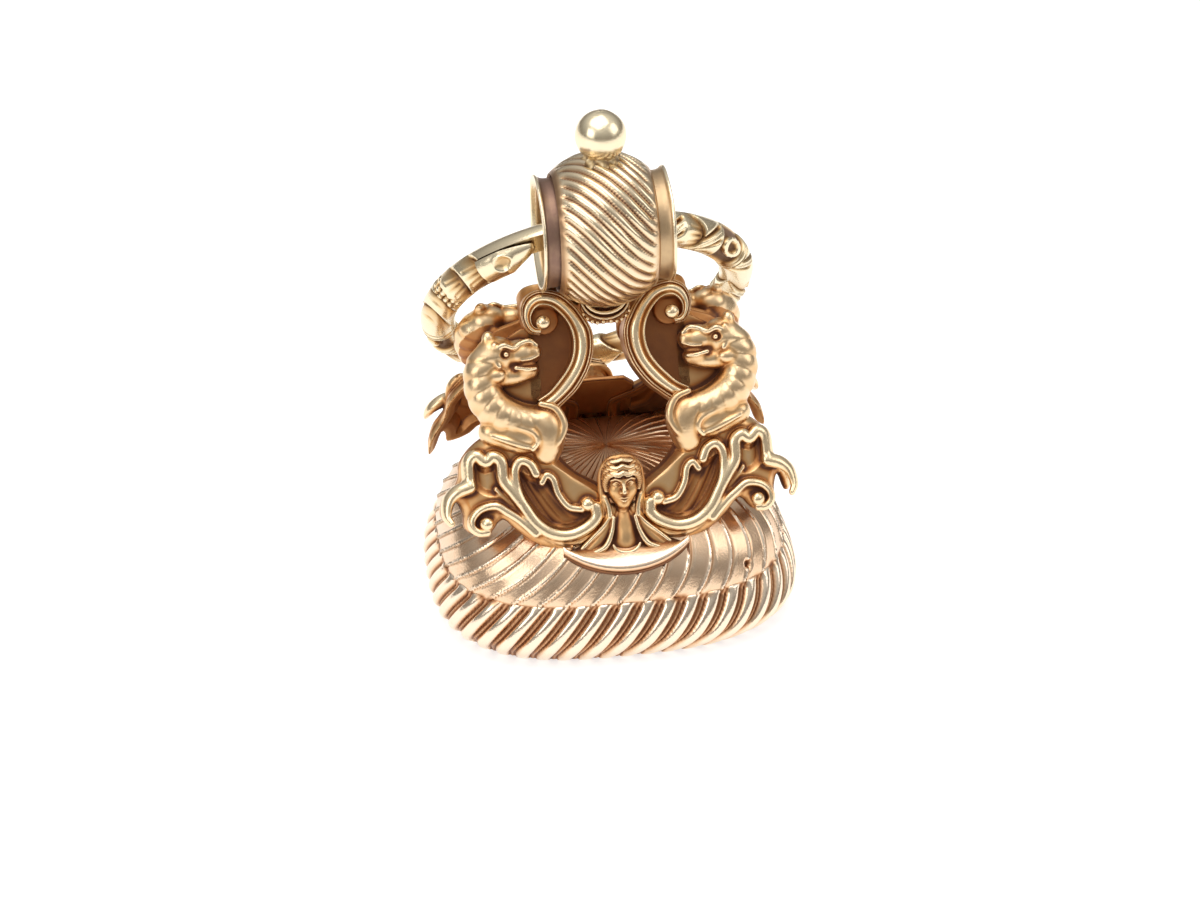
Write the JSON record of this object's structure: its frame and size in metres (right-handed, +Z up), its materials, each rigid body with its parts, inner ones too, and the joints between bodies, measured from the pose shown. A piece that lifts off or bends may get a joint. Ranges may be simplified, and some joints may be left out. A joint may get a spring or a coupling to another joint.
{
  "type": "pocket watch fob",
  "caption": "Ornamental watch fob seal: fluted cushion base, leaning openwork frames with beasts, leaves and busts, fluted barrel with ball, and a swinging split ring.",
  "frame": {"origin": "middle of the seal face on the underside of the base", "axes": "+Z up through the barrel and the finial, X along the barrel, the front bust faces -Y"},
  "size_m": [0.03, 0.0284, 0.0415],
  "materials": {
    "hardstone": "polished, dark red",
    "rose_gold": "worn polish with dark recesses",
    "cast_gold": "chased casting with dark recesses",
    "barrel_gold": "polished ridges, tarnished grooves",
    "pale_gold": "polished"
  },
  "bodies": {
    "fob": {"seal_stone": "hardstone", "stone_bezel": "rose_gold", "stone_seat": "rose_gold", "reeded_band": "rose_gold", "fluted_dome": "rose_gold", "front_plinth": "cast_gold", "rear_plinth": "cast_gold", "front_bust": "cast_gold", "rear_bust": "cast_gold", "front_left_leaf": "cast_gold", "front_right_leaf": "cast_gold", "rear_left_leaf": "cast_gold", "rear_right_leaf": "cast_gold", "front_left_beast": "cast_gold", "front_right_beast": "cast_gold", "rear_left_beast": "cast_gold", "rear_right_beast": "cast_gold", "front_left_scroll": "cast_gold", "front_right_scroll": "cast_gold", "rear_left_scroll": "cast_gold", "rear_right_scroll": "cast_gold", "front_cresting": "cast_gold", "rear_cresting": "cast_gold", "barrel": "barrel_gold", "barrel_left_flange": "barrel_gold", "barrel_right_flange": "barrel_gold", "finial_ball": "pale_gold", "finial_peg": "pale_gold"},
    "ring": {"split_ring": "pale_gold"}
  },
  "joints": [
    {"name": "ring_swing", "type": "hinge", "parent": "fob", "child": "ring", "pos_m": [0, 0, 0.0319], "axis": [1, 0, 0], "range_deg": [0, 286]}
  ]
}
